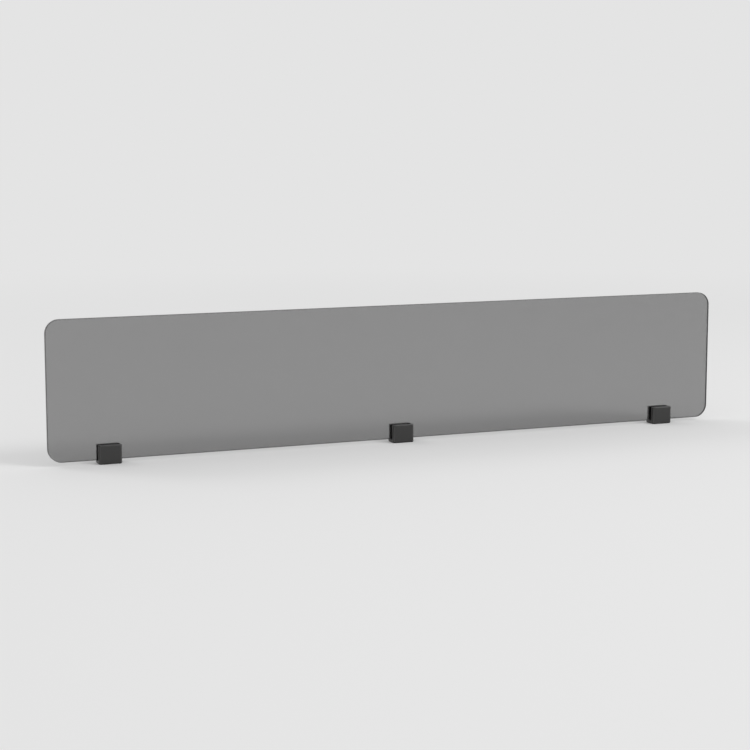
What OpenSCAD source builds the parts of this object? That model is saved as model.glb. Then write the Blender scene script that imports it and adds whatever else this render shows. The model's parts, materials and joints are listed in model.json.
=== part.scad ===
// Desk privacy panel: a smoked sheet held upright by three slotted block clips.
// Millimetres. X runs along the sheet, Y runs away from the user, Z is up.
// The origin is on the desktop, under the middle of the sheet.

/* [Sheet] */
// Length of the sheet
panel_w = 1600; // [1000:10:2000]
// Height of the sheet
panel_h = 300; // [200:5:500]
// Thickness of the sheet
panel_t = 10; // [8:0.5:12]
// Radius of the sheet's four corners
panel_corner_r = 30; // [10:1:60]
// Chamfer along the sheet's edges
panel_ease = 0.8; // [0.3:0.1:1.5]

/* [Clip block] */
// Distance from the end of the sheet to the middle of an end clip
clip_inset = 130; // [80:5:250]
// Width of a clip along the sheet
clip_w = 50; // [42:1:70]
// Height of a clip above the desktop
clip_h = 40; // [36:1:60]
// Thickness of each jaw of a clip
jaw_t = 11.8; // [10:0.2:16]
// Radius of a clip's upright corners
clip_corner_r = 6; // [3:0.5:8]
// Rounding along a clip's top edges
clip_top_r = 1.6; // [0.6:0.2:2.4]
// Chamfer along a clip's foot
clip_foot_ease = 0.6; // [0.2:0.1:1.2]
// Chamfer along the mouth and the ends of the slot
slot_mouth_ease = 0.8; // [0.3:0.1:1.2]
// Metal under the slot
floor_t = 4.5; // [3:0.5:8]

/* [Rubber] */
// Thickness of the pad under a clip
base_pad_t = 1.5; // [1:0.25:3]
// Distance of the pad's edge inside the clip's outline
base_pad_inset = 1; // [0.5:0.25:2]
// Thickness of the strip that the sheet stands on
seat_t = 2; // [1:0.25:4]
// Distance of the strip's ends inside the clip
seat_inset = 1; // [0.5:0.25:3]
// Thickness of the pads on both sides of the sheet
gasket_t = 1.5; // [1.4:0.1:2]
// Gap between the sheet and each jaw, which the pads bridge
jaw_gap = 1.2; // [0.8:0.1:1.3]

/* [Clamp] */
// Thickness of the pressure plate
plate_t = 2; // [1.5:0.25:2.5]
// How far the plate backs off to free the sheet
release_travel = 2; // [1:0.25:2.5]
// Metal beside the pocket, at each end of a clip
pocket_side_wall = 4; // [3:0.5:6]
// Metal above the pocket
pocket_rim = 5; // [4:0.5:8]
// Metal between the pocket and the fixing hole below it
pocket_web = 2.5; // [1.5:0.5:4]
// Radius of the pocket's corners
pocket_corner_r = 3; // [1.5:0.5:4]
// Distance between the two set screws
screw_pitch_x = 20; // [14:1:22]
// Radius of a set screw over its thread
set_screw_r = 2.5; // [2:0.5:3]
// Length of a set screw without its point
set_screw_len = 7.4; // [6:0.2:9]
// Radius of a set screw's point
screw_point_r = 1.5; // [1:0.25:1.75]
// Length of a set screw's point
screw_point_len = 0.8; // [0.7:0.1:1.2]
// Depth of the dimples in the plate that the points sit in
dimple_depth = 0.5; // [0.3:0.1:0.6]
// Width across flats of the hexagon socket
socket_af = 2.5; // [1.5:0.5:2.5]
// Depth of the hexagon socket
socket_depth = 3; // [2:0.5:4]

/* [Desk fixing] */
// Radius of the tapped holes for the screws from below
fixing_hole_r = 2.5; // [2:0.25:3]
// Depth of the tapped holes
fixing_hole_depth = 8; // [6:0.5:9]
// Gap around a fixing screw in the rubber pad
pad_hole_clearance = 0.8; // [0.5:0.1:1.2]

/* [Fits] */
// Radial gap of a set screw in its tapped hole
thread_clearance = 0.05; // [0.02:0.01:0.1]
// Gap around the plate and the pads in their pockets
pocket_clearance = 0.3; // [0.1:0.05:0.5]
// Gap between the screw's point and the side of its dimple
dimple_clearance = 0.15; // [0.1:0.05:0.3]
// Space left behind the plate when it is backed off
end_gap = 0.3; // [0.2:0.1:0.5]

/* [Hidden] */
$fn = 48;
clip_side = panel_w / 2 - clip_inset;
clips = [["left", -clip_side], ["centre", 0], ["right", clip_side]];

// heights
body_z = base_pad_t;
slot_floor_z = body_z + floor_t;
panel_z = slot_floor_z + seat_t;
body_h = clip_h - body_z;

// depths, from the sheet's middle outwards
panel_face_y = panel_t / 2;
jaw_face_y = panel_face_y + jaw_gap;
clip_d = 2 * (jaw_face_y + jaw_t);
gasket_back_y = panel_face_y + gasket_t;
plate_back_y = gasket_back_y + plate_t;
pocket_back_y = plate_back_y + release_travel + end_gap;

// the pocket in the rear jaw, and the shallow one in the front jaw
pocket_w = clip_w - 2 * pocket_side_wall;
pocket_z = body_z + fixing_hole_depth + pocket_web;
pocket_h = clip_h - pocket_rim - pocket_z;
pocket_mid_z = pocket_z + pocket_h / 2;
insert_w = pocket_w - 2 * pocket_clearance;
insert_h = pocket_h - 2 * pocket_clearance;
insert_corner_r = pocket_corner_r - pocket_clearance;

// the set screws
screw_bore_r = set_screw_r + thread_clearance;
screw_tip_y = plate_back_y - dimple_depth;
screw_shoulder_y = screw_tip_y + screw_point_len;
screw_ease = 0.4;
bore_ease = 0.4;
cut = 1; // overshoot that makes cuts run clean through a face

// the fixing holes, one in each jaw
fixing_y = jaw_face_y + jaw_t / 2;
pad_hole_r = fixing_hole_r + pad_hole_clearance;

PIECES = ["clip_body", "base_pad", "seat_block", "front_gasket", "rear_gasket",
    "pressure_plate", "set_screw_1", "set_screw_2"];

// ---- shared forms ----

// a flat rectangle with round corners, centred
module round_rectangle(w, h, r) {
    square([w - 2 * r, h], center = true);
    square([w, h - 2 * r], center = true);
    for (x = [-1, 1], y = [-1, 1])
        translate([x * (w / 2 - r), y * (h / 2 - r)])
            circle(r);
}

// a block with round upright corners whose rim has the section that the children draw
// from the middle line out to $reach; the section is swept along the sides and round the corners
module rimmed_block(w, d, corner_r) {
    rotate([90, 0, 90])
        linear_extrude(w - 2 * corner_r, center = true)
            both_ways()
                let($reach = d / 2) children();
    rotate([90, 0, 0])
        linear_extrude(d - 2 * corner_r, center = true)
            both_ways()
                let($reach = w / 2) children();
    for (x = [-1, 1], y = [-1, 1])
        translate([x * (w / 2 - corner_r), y * (d / 2 - corner_r), 0])
            rotate_extrude()
                let($reach = corner_r) children();
}

// the children and their mirror image
module both_ways() {
    children();
    mirror([1, 0]) children();
}

// half a section with a chamfer below and above
module chamfered_section(h, ease) {
    polygon([[0, 0], [$reach - ease, 0], [$reach, ease],
        [$reach, h - ease], [$reach - ease, h], [0, h]]);
}

// half a section with a chamfered foot and a round top edge
module block_section(h, foot, top_r) {
    polygon([[0, 0], [$reach - foot, 0], [$reach, foot],
        [$reach, h - top_r], [$reach - top_r, h - top_r], [$reach - top_r, h], [0, h]]);
    translate([$reach - top_r, h - top_r])
        circle(top_r);
}

// lays the children's outline upright, its face at the given depth, growing away from the user
module stand_up(y, t) {
    translate([0, y + t, 0])
        rotate([90, 0, 0])
            linear_extrude(t)
                children();
}

// puts the children at the middle of each set screw in turn
module at_set_screws() {
    for (x = [-1, 1])
        translate([x * screw_pitch_x / 2, 0, pocket_mid_z])
            children();
}

// puts the children on the axis of each fixing hole in turn
module at_fixing_holes() {
    for (y = [-1, 1])
        translate([0, y * fixing_y, 0])
            children();
}

// a round bar along Y between two depths
module bar_y(from, to, r1, r2) {
    translate([0, from, 0])
        rotate([-90, 0, 0])
            cylinder(h = to - from, r1 = r1, r2 = r2);
}

// ---- the sheet ----

module panel() {
    color([0.42, 0.42, 0.43, 0.6])
        translate([0, panel_t / 2, panel_z + panel_h / 2])
            rotate([90, 0, 0])
                rimmed_block(panel_w, panel_h, panel_corner_r)
                    chamfered_section(panel_t, panel_ease);
}

// ---- one clip, about its own middle ----

// the slotted block: front jaw, floor and rear jaw in one piece
module clip_body() {
    color([0.14, 0.14, 0.14])
        difference() {
            translate([0, 0, body_z])
                rimmed_block(clip_w, clip_d, clip_corner_r)
                    block_section(body_h, clip_foot_ease, clip_top_r);
            slot();
            pocket(pocket_back_y);
            mirror([0, 1, 0]) pocket(gasket_back_y);
            at_set_screws() set_screw_bore();
            at_fixing_holes() fixing_hole();
        }
}

// the slot for the sheet, open at both ends, chamfered along its mouth and down its ends
module slot() {
    flare = slot_mouth_ease + cut;
    rotate([90, 0, 90])
        linear_extrude(clip_w + 2 * cut, center = true)
            both_ways()
                polygon([[0, slot_floor_z], [jaw_face_y, slot_floor_z],
                    [jaw_face_y, clip_h - slot_mouth_ease],
                    [jaw_face_y + flare, clip_h + cut], [0, clip_h + cut]]);
    translate([0, 0, slot_floor_z])
        linear_extrude(clip_h - slot_floor_z + cut)
            for (turn = [0, 180])
                rotate(turn)
                    polygon([[clip_w / 2 - slot_mouth_ease, jaw_face_y], [clip_w / 2 + cut, jaw_face_y + flare],
                        [clip_w / 2 + cut, -jaw_face_y - flare], [clip_w / 2 - slot_mouth_ease, -jaw_face_y]]);
}

// a round-cornered recess into the rear jaw, from the slot to the given depth
module pocket(back_y) {
    translate([0, 0, pocket_mid_z])
        stand_up(0, back_y)
            round_rectangle(pocket_w, pocket_h, pocket_corner_r);
}

// a tapped hole through the rear jaw, countersunk outside
module set_screw_bore() {
    bar_y(pocket_back_y - cut, clip_d / 2 + cut, screw_bore_r, screw_bore_r);
    bar_y(clip_d / 2 - bore_ease, clip_d / 2 + cut, screw_bore_r, screw_bore_r + bore_ease + cut);
}

// a blind tapped hole in the underside of a jaw
module fixing_hole() {
    translate([0, 0, body_z - cut])
        cylinder(h = fixing_hole_depth + cut, r = fixing_hole_r);
}

// the rubber pad between the block and the desktop
module base_pad() {
    color([0.07, 0.07, 0.07])
        linear_extrude(base_pad_t)
            difference() {
                round_rectangle(clip_w - 2 * base_pad_inset, clip_d - 2 * base_pad_inset,
                    clip_corner_r - base_pad_inset);
                at_fixing_holes() circle(pad_hole_r);
            }
}

// the rubber strip that the sheet stands on
module seat_block() {
    color([0.07, 0.07, 0.07])
        translate([0, 0, slot_floor_z])
            linear_extrude(seat_t)
                square([clip_w - 2 * seat_inset, 2 * (jaw_face_y - pocket_clearance)], center = true);
}

// the outline that both rubber pads and the plate share
module insert_outline() {
    round_rectangle(insert_w, insert_h, insert_corner_r);
}

module front_gasket() {
    color([0.07, 0.07, 0.07])
        translate([0, 0, pocket_mid_z])
            stand_up(-gasket_back_y, gasket_t)
                insert_outline();
}

module rear_gasket() {
    color([0.07, 0.07, 0.07])
        translate([0, 0, pocket_mid_z])
            stand_up(panel_face_y, gasket_t)
                insert_outline();
}

// the plate behind the rear pad, with a dimple for each screw's point
module pressure_plate() {
    color([0.62, 0.63, 0.65])
        difference() {
            translate([0, 0, pocket_mid_z])
                stand_up(gasket_back_y, plate_t)
                    insert_outline();
            at_set_screws()
                bar_y(screw_tip_y, plate_back_y + cut,
                    screw_point_r + dimple_clearance, screw_point_r + dimple_clearance);
        }
}

// a socket set screw with a flat point, on the given side of the clip's middle
module set_screw(side) {
    end_y = screw_shoulder_y + set_screw_len;
    color([0.25, 0.25, 0.27])
        translate([side * screw_pitch_x / 2, 0, pocket_mid_z])
            difference() {
                union() {
                    bar_y(screw_tip_y, screw_shoulder_y + cut, screw_point_r, screw_point_r);
                    bar_y(screw_shoulder_y, screw_shoulder_y + screw_ease,
                        set_screw_r - screw_ease, set_screw_r);
                    bar_y(screw_shoulder_y + screw_ease, end_y - screw_ease, set_screw_r, set_screw_r);
                    bar_y(end_y - screw_ease, end_y, set_screw_r, set_screw_r - screw_ease);
                }
                translate([0, end_y + cut, 0])
                    rotate([90, 0, 0])
                        cylinder(h = socket_depth + cut, r = socket_af / sqrt(3), $fn = 6);
            }
}

panel();
for (clip = clips)
    translate([clip[1], 0, 0]) {
        clip_body();
        base_pad();
        seat_block();
        front_gasket();
        rear_gasket();
        pressure_plate();
        set_screw(-1);
        set_screw(1);
    }
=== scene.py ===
import json
import math

import bmesh
import bpy
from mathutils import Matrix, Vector


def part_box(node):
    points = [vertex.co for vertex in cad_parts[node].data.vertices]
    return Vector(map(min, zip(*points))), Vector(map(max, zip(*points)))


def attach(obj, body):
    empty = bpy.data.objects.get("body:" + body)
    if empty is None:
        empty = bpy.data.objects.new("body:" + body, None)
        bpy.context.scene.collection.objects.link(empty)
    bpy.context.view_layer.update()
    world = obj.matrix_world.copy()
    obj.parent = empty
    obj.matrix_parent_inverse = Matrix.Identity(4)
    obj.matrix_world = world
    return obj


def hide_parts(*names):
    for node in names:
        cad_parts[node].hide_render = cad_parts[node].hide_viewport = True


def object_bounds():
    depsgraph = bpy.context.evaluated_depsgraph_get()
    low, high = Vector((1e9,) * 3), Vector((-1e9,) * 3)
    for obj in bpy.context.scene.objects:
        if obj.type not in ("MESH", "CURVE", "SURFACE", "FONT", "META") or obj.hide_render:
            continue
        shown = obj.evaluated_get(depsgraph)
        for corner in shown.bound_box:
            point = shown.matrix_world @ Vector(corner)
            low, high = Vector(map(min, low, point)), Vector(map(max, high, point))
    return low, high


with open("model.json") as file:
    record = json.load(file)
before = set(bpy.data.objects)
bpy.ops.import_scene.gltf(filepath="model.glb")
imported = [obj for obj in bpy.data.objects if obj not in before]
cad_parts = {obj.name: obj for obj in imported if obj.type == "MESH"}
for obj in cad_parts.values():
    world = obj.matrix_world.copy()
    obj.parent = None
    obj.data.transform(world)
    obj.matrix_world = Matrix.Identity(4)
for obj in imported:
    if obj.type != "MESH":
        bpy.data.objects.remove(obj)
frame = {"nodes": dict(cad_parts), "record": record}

MM = 0.001
CLIPS = ("left", "centre", "right")
CAD_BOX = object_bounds()
BODY_OF = {
    node: body
    for body, nodes in frame["record"]["behaviour"]["bodies"].items()
    for node in nodes
}
FIXING = next(
    mount["dims"] for mount in frame["record"]["mounts"] if mount["name"] == "centre_fixing_holes"
)

# ---- the camera ----

AZIMUTH = math.radians(-23.5)
ELEVATION = math.radians(7.9)
DISTANCE = 4.07  # from the object's middle, in metres
LENS, SENSOR = 87.4, 36  # in mm
NEAREST, FARTHEST = 0.05, 100  # the range that shows, in metres from the camera
AIM = Vector((-0.063, 0, 0))  # beside the object's middle, so that both margins come out equal


def place_camera():
    """A camera to the left of the sheet's middle and a little above its top edge."""
    low, high = CAD_BOX
    middle = (low + high) / 2
    back = Vector((
        math.sin(AZIMUTH) * math.cos(ELEVATION),
        -math.cos(AZIMUTH) * math.cos(ELEVATION),
        math.sin(ELEVATION),
    ))
    data = bpy.data.cameras.new("camera")
    data.sensor_width = SENSOR
    data.lens = LENS
    data.clip_start = NEAREST
    data.clip_end = FARTHEST
    camera = bpy.data.objects.new("camera", data)
    camera.location = middle + back * DISTANCE
    camera.rotation_euler = (AIM - back * DISTANCE).to_track_quat("-Z", "Y").to_euler()
    bpy.context.scene.collection.objects.link(camera)
    bpy.context.scene.camera = camera


# ---- finishes: sockets with arithmetic, and one method for nodes ----

NOISE_LOW, NOISE_HIGH = 0.3, 0.7  # most of a noise lies between them


class Socket:
    """An output of a finish's nodes. Arithmetic on it adds Math nodes."""

    def __init__(self, finish, link):
        self.finish = finish
        self.link = link

    def __add__(self, other):
        return self.finish.maths("ADD", self, other)

    __radd__ = __add__

    def __sub__(self, other):
        return self.finish.maths("SUBTRACT", self, other)

    def __rsub__(self, other):
        return self.finish.maths("SUBTRACT", other, self)

    def __mul__(self, other):
        return self.finish.maths("MULTIPLY", self, other)

    __rmul__ = __mul__

    def __abs__(self):
        return self.finish.maths("ABSOLUTE", self)


class Finish:
    """A finish and the nodes that make it."""

    def __init__(self, owner):
        self.owner = owner
        owner.use_nodes = True
        self.tree = owner.node_tree
        self.tree.nodes.clear()

    @classmethod
    def called(cls, name):
        return cls(bpy.data.materials.new(name))

    def node(self, kind, settings=None, inputs=None, output=0):
        """Adds a node, sets it, then fills or links its sockets, and returns one output."""
        node = self.tree.nodes.new("ShaderNode" + kind)
        for name, value in (settings or {}).items():
            setattr(node, name, value)
        for name, value in (inputs or {}).items():
            if isinstance(value, Socket):
                self.tree.links.new(value.link, node.inputs[name])
            else:
                node.inputs[name].default_value = value
        return None if output is None else Socket(self, node.outputs[output])

    def maths(self, operation, *values):
        return self.node("Math", {"operation": operation}, dict(enumerate(values)))

    def place(self):
        """Where a point lies on the object, in metres."""
        return self.node("TexCoord", output="Object")

    def along(self, place):
        """The three coordinates of a place, each by itself."""
        return [self.node("SeparateXYZ", inputs={0: place}, output=i) for i in range(3)]

    def stretched(self, place, scale):
        return self.node("VectorMath", {"operation": "MULTIPLY"}, {0: place, 1: scale})

    def noise(self, place, scale, detail=2.0, roughness=0.5):
        """A noise with that many lumps to a metre, before its detail."""
        inputs = {"Vector": place, "Scale": scale, "Detail": detail, "Roughness": roughness}
        return self.node("TexNoise", inputs=inputs)

    def step(self, value, start, end):
        """0 below start, 1 above end and smooth between them, or the other way round."""
        inputs = {"Value": value, "From Min": start, "From Max": end}
        return self.node("MapRange", {"interpolation_type": "SMOOTHSTEP"}, inputs)

    def spread(self, value, low, high):
        """A noise's middle range spread from low to high."""
        inputs = {"Value": value, "From Min": NOISE_LOW, "From Max": NOISE_HIGH}
        inputs.update({"To Min": low, "To Max": high})
        return self.node("MapRange", inputs=inputs)

    def blend(self, factor, first, second):
        """A colour between two colours, by the Mix node's sockets for colours."""
        inputs = {0: factor, 6: first, 7: second}
        return self.node("Mix", {"data_type": "RGBA"}, inputs, output=2)

    def mix(self, factor, first, second):
        """A shader between two shaders."""
        return self.node("MixShader", inputs={0: factor, 1: first, 2: second})

    def relief(self, height, depth, normal=None):
        """The surface's normal over a height from 0 to 1, which stands for a depth in metres."""
        inputs = {"Height": height, "Distance": depth, "Strength": 1.0}
        if normal is not None:
            inputs["Normal"] = normal
        return self.node("Bump", inputs=inputs)

    def show(self, shader, end="OutputMaterial"):
        """Makes a shader the one that shows, and returns the finished material or world."""
        self.node(end, inputs={"Surface": shader}, output=None)
        return self.owner


def grey(value, warmth=0.0):
    """A grey, a little warmer or cooler than neutral."""
    return (value * (1 + warmth), value, value * (1 - warmth), 1.0)


# ---- the smoked sheet ----

SHEET_TINT = 0.315  # what the faces let through, before what they mirror
SHEET_SHADE = 0.44  # what is left of a lamp's light behind the sheet, past both faces
ACRYLIC_IOR = 1.49
EDGE_START, EDGE_END = 0.05 * MM, 0.4 * MM  # where the satin edge begins, behind the face


def smoked_acrylic():
    """Cast acrylic smoked to a neutral grey, polished on its faces and satin on its cut edges."""
    f = Finish.called("smoked_acrylic")
    place = f.place()
    depth = abs(f.along(place)[1])
    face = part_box("panel")[1].y
    edge = f.step(depth, face - EDGE_START, face - EDGE_END)
    swell = f.noise(f.stretched(place, (1.0, 1.0, 1.6)), 5.0, 1.0)
    wipe = f.noise(f.stretched(place, (0.35, 1.0, 1.0)), 60.0, 4.0)
    cut = f.noise(f.stretched(place, (1.0, 0.03, 1.0)), 2200.0, 2.0)
    faces = f.node("BsdfPrincipled", inputs={
        "Base Color": grey(SHEET_TINT),
        "Roughness": f.spread(wipe, 0.012, 0.04),
        "IOR": ACRYLIC_IOR,
        "Transmission Weight": 1.0,
        "Normal": f.relief(swell, 0.06 * MM),
    })
    edges = f.node("BsdfPrincipled", inputs={
        "Base Color": f.blend(f.spread(cut, 0.0, 1.0), grey(0.085), grey(0.12)),
        "Roughness": f.spread(cut, 0.38, 0.52),
        "IOR": ACRYLIC_IOR,
        "Specular IOR Level": 0.3,
        "Normal": f.relief(cut, 0.015 * MM),
    })
    one_face = math.sqrt(SHEET_SHADE)
    clear = f.node("BsdfTransparent", inputs={"Color": grey(one_face)})
    shader = f.mix(edge, faces, edges)
    for ray in ("Is Diffuse Ray", "Is Shadow Ray"):
        shader = f.mix(f.node("LightPath", output=ray), shader, clear)
    return f.show(shader)


# ---- metals and rubber ----

# Where the coat of the clips wears on its top rims, and where a painted highlight of lighter
# grey lies on its upright round corners. A pair holds the values at which a mask starts and is
# full. ROUND is about the normal's largest part, which is 1 on a flat face and less on a
# rounding, and UPRIGHT about its vertical part, which tells top rims from upright corners.
RIM_ROUND, RIM_UPRIGHT = (0.97, 0.8), (0.15, 0.4)
HIGHLIGHT_CORNER_ROUND, HIGHLIGHT_CORNER_UPRIGHT = (0.985, 0.82), (0.15, 0.05)
# noise levels of the patches, shared by the rim wear and by part of the painted corner highlight
PATCHES_OF_WEAR_AND_HIGHLIGHT = (0.44, 0.7)
HIGHLIGHT_PATCHY_SHARE, HIGHLIGHT_EVEN_SHARE = 0.6, 0.7  # of the painted highlight on the upright corners: a patchy share and an even share
RIM_RUB, CORNER_HIGHLIGHT = 0.3, 0.42  # how far rim wear, and the painted corner highlight, take the coat towards a lighter grey
# the lighter grey of worn rims, which also paints the highlight on the upright corners
WORN_OR_HIGHLIT_COAT = 0.08
RUBBED_SMOOTH = 0.04  # how much smoother it leaves the rims


def black_aluminium():
    """Aluminium under a fine black satin coat, rubbed a little on its rims, with a painted
    highlight of lighter grey on its upright round corners.
    """
    f = Finish.called("black_aluminium")
    place = f.place()
    grain = f.noise(place, 5200.0, 2.0)
    peel = f.noise(place, 900.0, 2.0)
    cloud = f.noise(place, 60.0, 3.0)
    facing = f.node("VectorMath", {"operation": "ABSOLUTE"},
                    {0: f.node("NewGeometry", output="Normal")})
    nx, ny, nz = f.along(facing)
    flat = f.maths("MAXIMUM", f.maths("MAXIMUM", nx, ny), nz)
    rim = f.step(flat, *RIM_ROUND) * f.step(nz, *RIM_UPRIGHT)
    # painted highlight: a mask of the upright round corners, which the coat is lightened on
    corner = f.step(flat, *HIGHLIGHT_CORNER_ROUND) * f.step(nz, *HIGHLIGHT_CORNER_UPRIGHT)
    patchy = f.step(f.noise(place, 1600.0, 4.0), *PATCHES_OF_WEAR_AND_HIGHLIGHT)
    rubbed = rim * patchy
    # painted highlight on the upright corners, part patchy and part even
    painted_highlight = corner * (patchy * HIGHLIGHT_PATCHY_SHARE + HIGHLIGHT_EVEN_SHARE)
    colour = f.blend(f.spread(grain, 0.0, 1.0), grey(0.02, 0.02), grey(0.036, 0.02))
    # real wear on the rims and a painted highlight on the upright corners both lighten the coat
    wear_and_highlight = rubbed * RIM_RUB + painted_highlight * CORNER_HIGHLIGHT
    colour = f.blend(wear_and_highlight, colour, grey(WORN_OR_HIGHLIT_COAT, 0.01))
    normal = f.relief(peel, 0.035 * MM)
    normal = f.relief(grain, 0.02 * MM, normal)
    return f.show(f.node("BsdfPrincipled", inputs={
        "Base Color": colour,
        "Roughness": f.spread(cloud, 0.3, 0.36) - rubbed * RUBBED_SMOOTH,
        "IOR": 1.5,
        "Normal": normal,
    }))


def black_rubber():
    """Black rubber with a fine grain and a trace of dust."""
    f = Finish.called("black_rubber")
    place = f.place()
    grain = f.noise(place, 3800.0, 2.0)
    dust = f.noise(place, 500.0, 4.0, 0.7)
    colour = f.blend(f.step(dust, 0.5, 0.75), grey(0.012), grey(0.028, 0.03))
    return f.show(f.node("BsdfPrincipled", inputs={
        "Base Color": colour,
        "Roughness": f.spread(grain, 0.72, 0.9),
        "Normal": f.relief(grain, 0.04 * MM),
    }))


def zinc_plate():
    """Zinc-plated steel with a faint rolling direction."""
    f = Finish.called("zinc_plate")
    place = f.place()
    rolled = f.noise(f.stretched(place, (0.05, 1.0, 1.0)), 2500.0, 2.0)
    bloom = f.noise(place, 300.0, 3.0)
    colour = f.blend(f.spread(bloom, 0.0, 1.0), (0.56, 0.58, 0.6, 1), (0.7, 0.7, 0.68, 1))
    return f.show(f.node("BsdfPrincipled", inputs={
        "Base Color": colour,
        "Metallic": 1.0,
        "Roughness": f.spread(rolled, 0.26, 0.42),
        "Normal": f.relief(rolled, 0.006 * MM),
    }))


def black_oxide():
    """Hardened steel blackened in oil."""
    f = Finish.called("black_oxide")
    place = f.place()
    patch = f.noise(place, 900.0, 3.0)
    fine = f.noise(place, 7000.0, 1.0)
    colour = f.blend(f.spread(patch, 0.0, 1.0), grey(0.07), grey(0.13, 0.03))
    return f.show(f.node("BsdfPrincipled", inputs={
        "Base Color": colour,
        "Metallic": 1.0,
        "Roughness": f.spread(patch, 0.24, 0.38),
        "Normal": f.relief(fine, 0.004 * MM),
    }))


# ---- the room ----

PALE = 0.776  # the tone of the backdrop
SKY = 0.575  # the strength of the even light from all round
FLOOR_COLOUR = 0.88
FLOOR_RADIUS, FLOOR_STEPS = 30.0, 96
FLOOR_DROP = 0.1 * MM  # under the plane that the clips stand on
FLOOR_NEAR, FLOOR_FAR = 2.0, 5.0  # where the floor starts to fade, and where it has
LAMPS = (  # name, place, diameter in metres, watts and whether matt surfaces take its light
    ("key", (6.1, -6.5, 8.3), 4.7, 500, True),
    ("rim", (-6.5, 6.1, 6.8), 4.0, 195, True),
    ("gleam", (6.1, -0.7, 0.9), 1.6, 45, False),
)


def pale_floor():
    """A matt pale floor that fades into the backdrop's own tone away from the object."""
    f = Finish.called("pale_floor")
    x, y, _ = f.along(f.place())
    reach = f.maths("SQRT", x * x + y * y)
    matt = f.node("BsdfDiffuse", inputs={"Color": grey(FLOOR_COLOUR)})
    glow = f.node("Emission", inputs={"Color": grey(PALE), "Strength": 1.0})
    shader = f.mix(f.step(reach, FLOOR_NEAR, FLOOR_FAR), matt, glow)
    under = f.node("NewGeometry", output="Backfacing")
    return f.show(f.mix(under, shader, f.node("BsdfTransparent")))


def lay_floor():
    mesh = bpy.data.meshes.new("floor")
    bm = bmesh.new()
    bmesh.ops.create_circle(bm, cap_ends=True, segments=FLOOR_STEPS, radius=FLOOR_RADIUS)
    bm.to_mesh(mesh)
    bm.free()
    floor = bpy.data.objects.new("floor", mesh)
    floor.location.z = -FLOOR_DROP
    mesh.materials.append(pale_floor())
    bpy.context.scene.collection.objects.link(floor)


def light_room():
    """An even sky, a large lamp ahead on the right, a softer one behind on the left
    and a low one on the right that shows only as a gleam on the clips' round corners."""
    world = bpy.data.worlds.new("room")
    bpy.context.scene.world = world
    f = Finish(world)
    seen = f.node("Background", inputs={"Color": grey(PALE), "Strength": 1.0})
    given = f.node("Background", inputs={"Color": grey(1.0), "Strength": SKY})
    f.show(f.mix(f.node("LightPath", output="Is Diffuse Ray"), seen, given), "OutputWorld")
    for name, place, diameter, watts, lights_matt in LAMPS:
        data = bpy.data.lights.new(name, "AREA")
        data.shape = "ELLIPSE"
        data.size = data.size_y = diameter
        data.energy = watts
        light = bpy.data.objects.new(name, data)
        light.visible_camera = light.visible_transmission = False
        light.visible_diffuse = lights_matt
        light.location = place
        light.rotation_euler = (-Vector(place)).to_track_quat("-Z", "Y").to_euler()
        bpy.context.scene.collection.objects.link(light)


# ---- pieces made here ----

ROUND = 48  # steps round a screw
HOLE_STEPS = 24  # round a hole in a pad
RIM_STEPS = 4  # over a rounded rim
CREASE = math.radians(35)  # an edge sharper than this stays sharp
SAME_POINT = 0.001 * MM  # points closer than this become one
NO_LENGTH = 0.0005 * MM  # and edges shorter than this go


def circle(radius, steps=ROUND):
    turns = [2 * math.pi * i / steps for i in range(steps)]
    return [(radius * math.cos(t), radius * math.sin(t)) for t in turns]


def hexagon(flats, steps=ROUND):
    """A hexagon's outline with as many points as a circle has, its corners among them."""
    sixth = math.pi / 3
    outline = []
    for i in range(steps):
        turn = 2 * math.pi * i / steps
        radius = flats / 2 / math.cos(turn % sixth - sixth / 2)
        outline.append((radius * math.cos(turn), radius * math.sin(turn)))
    return outline


def round_rectangle(w, h, r, steps=8):
    """A rectangle's outline with round corners, about its middle."""
    outline = []
    for corner, (x, y) in enumerate(((1, 1), (-1, 1), (-1, -1), (1, -1))):
        for i in range(steps + 1):
            turn = math.pi / 2 * (corner + i / steps)
            outline.append((x * (w / 2 - r) + r * math.cos(turn),
                            y * (h / 2 - r) + r * math.sin(turn)))
    return outline


def ring(bm, outline, height, lay):
    return [bm.verts.new(lay(x, y, height)) for x, y in outline]


def skin(bm, rings):
    """Faces between one closed ring of points and the next."""
    for low, high in zip(rings, rings[1:]):
        for i in range(len(low)):
            j = (i + 1) % len(low)
            bm.faces.new((low[i], low[j], high[j], high[i]))


def edges_of(bm, verts):
    return [bm.edges.get((a, b)) for a, b in zip(verts, verts[1:] + verts[:1])]


def finish_piece(name, bm, node, finish):
    """Makes the mesh a piece that moves with a CAD node's body."""
    bmesh.ops.remove_doubles(bm, verts=bm.verts, dist=SAME_POINT)
    bmesh.ops.dissolve_degenerate(bm, edges=bm.edges, dist=NO_LENGTH)
    bmesh.ops.recalc_face_normals(bm, faces=bm.faces)
    for face in bm.faces:
        face.smooth = True
    for edge in bm.edges:
        edge.smooth = len(edge.link_faces) == 2 and edge.calc_face_angle(0) < CREASE
    mesh = bpy.data.meshes.new(name)
    bm.to_mesh(mesh)
    bm.free()
    mesh.materials.append(finish)
    piece = bpy.data.objects.new(name, mesh)
    bpy.context.scene.collection.objects.link(piece)
    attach(piece, BODY_OF[node])
    return piece


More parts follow.
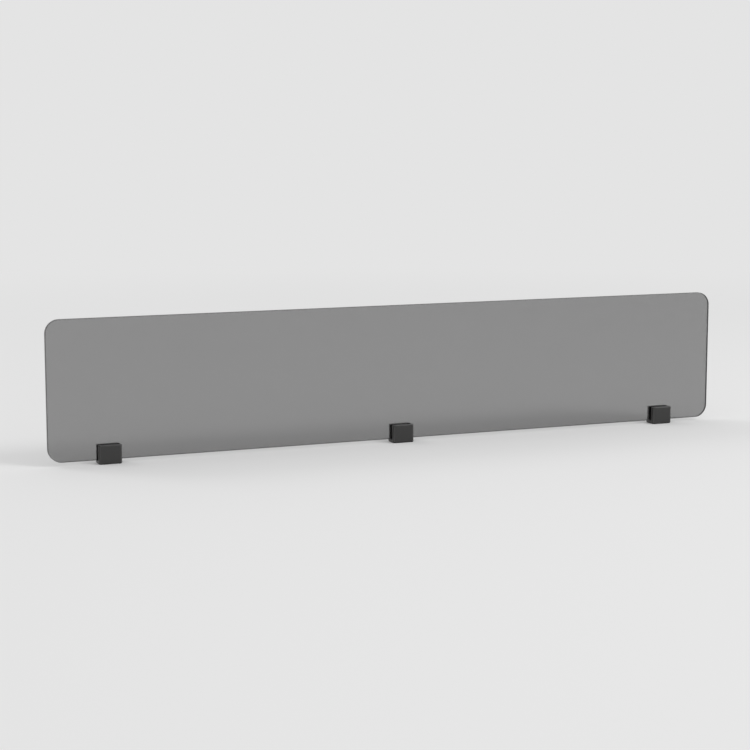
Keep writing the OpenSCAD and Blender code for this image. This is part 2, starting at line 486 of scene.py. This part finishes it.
def rubber_slab(outline_at, holes, thick, ease, lay):
    """A slab cut from sheet rubber, its rims rounded over. outline_at gives the outline
    at a distance inside its edge; holes are (x, y, radius)."""
    bm = bmesh.new()
    quarter = [math.pi / 2 * i / RIM_STEPS for i in range(RIM_STEPS + 1)]
    rims = [(ease * (1 - math.sin(t)), ease * (1 - math.cos(t))) for t in quarter]
    rims = rims + [(inset, thick - z) for inset, z in reversed(rims)]
    walls = [[ring(bm, outline_at(inset), z, lay) for inset, z in rims]]
    for x, y, radius in holes:
        walls.append([
            ring(bm, [(x + u, y + v) for u, v in circle(radius + inset, HOLE_STEPS)], z, lay)
            for inset, z in rims
        ])
    for wall in walls:
        skin(bm, wall)
    for end in (0, -1):
        loops = [edge for wall in walls for edge in edges_of(bm, wall[end])]
        bmesh.ops.triangle_fill(bm, use_beauty=True, edges=loops)
    return bm


# ---- the set screws and the threads they run in ----

PITCH = 0.8 * MM
CREST_R = 2.5 * MM
ROOT_R = 2.03 * MM
CREST_FLAT, FLANK = 0.06, 0.35  # half the crest's flat and the slope beside it, in pitches
THREAD_STEPS = 12  # points along the screw in one pitch
SHOULDER = 0.8 * MM  # where the thread starts, behind the point
POINT_R = 1.5 * MM
POINT_EASE = 0.1 * MM
SOCKET = 2.5 * MM  # across its flats
SOCKET_DEEP = 3 * MM
MOUTH_R = SOCKET * 0.64  # the socket's mouth takes in the hexagon's corners
MOUTH_DEEP = 0.12 * MM
DRILL_R = SOCKET * 0.42  # the drilled end of the socket
DRILL_DEEP = 0.4 * MM
DRILL_TIP_R = 0.1 * MM
RIDGE_TIP_R = 2.14 * MM
RIDGE_ROOT_R = 2.58 * MM  # a little behind the wall of the bore
RIDGE_WIDE, RIDGE_NARROW = 0.375, 0.06  # half the ridge's width, in pitches
RUN_OUT = ROUND // 4  # steps over which a ridge fades out
POCKET_SPARE = 2.4 * MM  # from the plate's back to just past the pocket's back wall
BORE_MOUTH = 0.45 * MM  # left clear of thread at the bore's mouth
FIXING_PITCH = 1.0 * MM
FIXING_START, FIXING_END = 0.5 * MM, 7.5 * MM  # above the block's underside
FIXING_SUNK = 0.08 * MM  # the ridge's foot, behind the hole's wall
FIXING_PROUD = 0.27 * MM  # and its crest, out from the wall


def thread_depth(phase):
    """How deep the thread lies under its crest, from 0 to 1, at a share of a pitch."""
    from_crest = abs((phase + 0.5) % 1 - 0.5)
    return min(max((from_crest - CREST_FLAT) / FLANK, 0), 1)


def threaded_wall(bm, start, end, lay):
    """The threaded side of a screw from one height to another, run out at both ends.
    Returns the rings of points that it ends in."""
    spare = 2  # pitches: a column starts up to one under the wall and ends above it
    count = math.ceil((end - start) / PITCH + spare) * THREAD_STEPS
    columns = []
    for i in range(ROUND):
        turn = i / ROUND
        column = []
        for k in range(count + 1):
            height = start + PITCH * (k / THREAD_STEPS - 1 + turn)
            radius = ROOT_R
            if start < height < end:
                radius = CREST_R - (CREST_R - ROOT_R) * thread_depth(k / THREAD_STEPS)
                radius = min(radius, ROOT_R + min(height - start, end - height))
            height = min(max(height, start), end)
            angle = 2 * math.pi * turn
            column.append(bm.verts.new(
                lay(radius * math.cos(angle), radius * math.sin(angle), height)))
        columns.append(column)
    for i, column in enumerate(columns):
        beside = columns[(i + 1) % ROUND]
        shift = THREAD_STEPS if i == ROUND - 1 else 0
        for k in range(count - shift):
            bm.faces.new((column[k], beside[k + shift], beside[k + shift + 1], column[k + 1]))
    return [c[0] for c in columns], [c[-1] for c in columns]


def along_y(middle):
    """Lays outlines round an axis along Y, turning from up towards the right."""
    return lambda a, b, height: Vector((middle.x + b, height, middle.z + a))


def set_screw(clip, number, finish):
    """A socket set screw with a rolled thread, a flat point and a hexagon socket."""
    node = f"{clip}_set_screw_{number}"
    low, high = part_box(node)
    lay = along_y((low + high) / 2)
    bm = bmesh.new()
    first, last = threaded_wall(bm, low.y + SHOULDER, high.y, lay)
    point = [ring(bm, circle(radius), y, lay) for radius, y in (
        (POINT_R, low.y + SHOULDER),
        (POINT_R, low.y + POINT_EASE),
        (POINT_R - POINT_EASE, low.y))]
    skin(bm, [first, *point])
    bm.faces.new(point[-1])
    floor_y = high.y - SOCKET_DEEP
    drill_y = floor_y + DRILL_DEEP
    mouth = ring(bm, circle(MOUTH_R), high.y, lay)
    flats = [ring(bm, hexagon(SOCKET), y, lay) for y in (high.y - MOUTH_DEEP, drill_y)]
    drilled = [ring(bm, circle(DRILL_R), drill_y, lay),
               ring(bm, circle(DRILL_TIP_R), floor_y, lay)]
    skin(bm, [last, mouth, *flats, *drilled])
    bm.faces.new(drilled[-1])
    screw = finish_piece(f"{clip}_threaded_screw_{number}", bm, node, finish)
    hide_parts(node)


def cut_thread(name, clip, finish, lay, start, end, phase_at, pitch, root_r, tip_r):
    """A thread cut in a clip: one ridge that winds along a hole's wall and fades out at both
    ends. A crest of the screw that fits it passes the up direction at phase_at."""
    in_groove = 0.5  # pitches from a crest
    first = math.ceil(((start - phase_at) / pitch - in_groove) * ROUND)
    last = math.floor(((end - phase_at) / pitch - in_groove) * ROUND)
    bm = bmesh.new()
    loops = []
    for step in range(first, last + 1):
        turn = step / ROUND
        fade = min(1.0, (step - first + 1) / RUN_OUT, (last - step + 1) / RUN_OUT)
        crest_r = root_r - (root_r - tip_r) * fade
        middle = phase_at + pitch * (turn + in_groove)
        angle = 2 * math.pi * turn
        wide, narrow = RIDGE_WIDE * pitch * fade, RIDGE_NARROW * pitch * fade
        loops.append([
            bm.verts.new(lay(radius * math.cos(angle), radius * math.sin(angle), middle + off))
            for radius, off in (
                (root_r, -wide), (crest_r, -narrow), (crest_r, narrow), (root_r, wide))
        ])
    skin(bm, loops)
    bm.faces.new(loops[0])
    bm.faces.new(loops[-1])
    finish_piece(name, bm, f"{clip}_clip_body", finish)


def bore_thread(clip, number, finish):
    """The thread in a set screw's bore, which fits the screw's groove."""
    low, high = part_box(f"{clip}_set_screw_{number}")
    pocket_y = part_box(f"{clip}_pressure_plate")[1].y + POCKET_SPARE
    mouth_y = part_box(f"{clip}_clip_body")[1].y - BORE_MOUTH
    cut_thread(f"{clip}_bore_thread_{number}", clip, finish, along_y((low + high) / 2),
               pocket_y, mouth_y, low.y + SHOULDER, PITCH, RIDGE_ROOT_R, RIDGE_TIP_R)


def fixing_thread(clip, side, finish):
    """The thread in one of the two holes in a clip's foot."""
    low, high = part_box(f"{clip}_clip_body")
    middle = (low + high) / 2 + Vector((0, side * FIXING["spacing_y_mm"] / 2 * MM, 0))
    wall = FIXING["hole_r_mm"] * MM
    jaw = "rear" if side > 0 else "front"
    cut_thread(f"{clip}_{jaw}_fixing_thread", clip, finish,
               lambda a, b, height: Vector((middle.x + a, middle.y + b, height)),
               low.z + FIXING_START, low.z + FIXING_END, low.z, FIXING_PITCH,
               wall + FIXING_SUNK, wall - FIXING_PROUD)


# ---- the rubber ----

PAD_CORNER_R, PAD_EASE = 5 * MM, 0.3 * MM
PAD_CLEARANCE = 0.8 * MM  # round a fixing screw's hole
STRIP_CORNER_R, STRIP_EASE = 0.6 * MM, 0.3 * MM
GRIP_CORNER_R, GRIP_EASE = 2.7 * MM, 0.25 * MM


def cut_rubber(name, node, finish, corner_r, ease, holes=(), upright=False):
    """A rubber piece in place of a CAD node, lying flat or upright along a jaw."""
    low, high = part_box(node)
    size, middle = high - low, (low + high) / 2
    if upright:
        length, width, thick = size.x, size.z, size.y
    else:
        length, width, thick = size

    def outline_at(inset):
        return round_rectangle(length - 2 * inset, width - 2 * inset, corner_r - inset)

    def lay(x, across, depth):
        if upright:
            return Vector((middle.x + x, low.y + depth, middle.z + across))
        return Vector((middle.x + x, middle.y + across, low.z + depth))

    bm = rubber_slab(outline_at, holes, thick, ease, lay)
    pad = finish_piece(name, bm, node, finish)
    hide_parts(node)


def line_with_rubber(clip, finish):
    """The pad under a clip, with clearance round both fixing screws, the strip that the
    sheet stands on and the pads between the sheet and the jaws."""
    hole_y = FIXING["spacing_y_mm"] / 2 * MM
    hole_r = FIXING["hole_r_mm"] * MM + PAD_CLEARANCE
    cut_rubber(f"{clip}_foot_pad", f"{clip}_base_pad", finish, PAD_CORNER_R, PAD_EASE,
               holes=[(0, hole_y, hole_r), (0, -hole_y, hole_r)])
    cut_rubber(f"{clip}_seat_strip", f"{clip}_seat_block", finish, STRIP_CORNER_R, STRIP_EASE)
    for side in ("front", "rear"):
        cut_rubber(f"{clip}_{side}_grip_pad", f"{clip}_{side}_gasket", finish,
                   GRIP_CORNER_R, GRIP_EASE, upright=True)


def dress(node, finish):
    for slot in frame["nodes"][node].material_slots:
        slot.material = finish


# ---- the object ----

place_camera()
bpy.context.scene.view_settings.view_transform = "Standard"
lay_floor()
light_room()

dress("panel", smoked_acrylic())
aluminium = black_aluminium()
rubber = black_rubber()
zinc = zinc_plate()
oxide = black_oxide()
for clip in CLIPS:
    dress(f"{clip}_clip_body", aluminium)
    dress(f"{clip}_pressure_plate", zinc)
    line_with_rubber(clip, rubber)
    for number in (1, 2):
        set_screw(clip, number, oxide)
        bore_thread(clip, number, aluminium)
    for side in (-1, 1):
        fixing_thread(clip, side, aluminium)
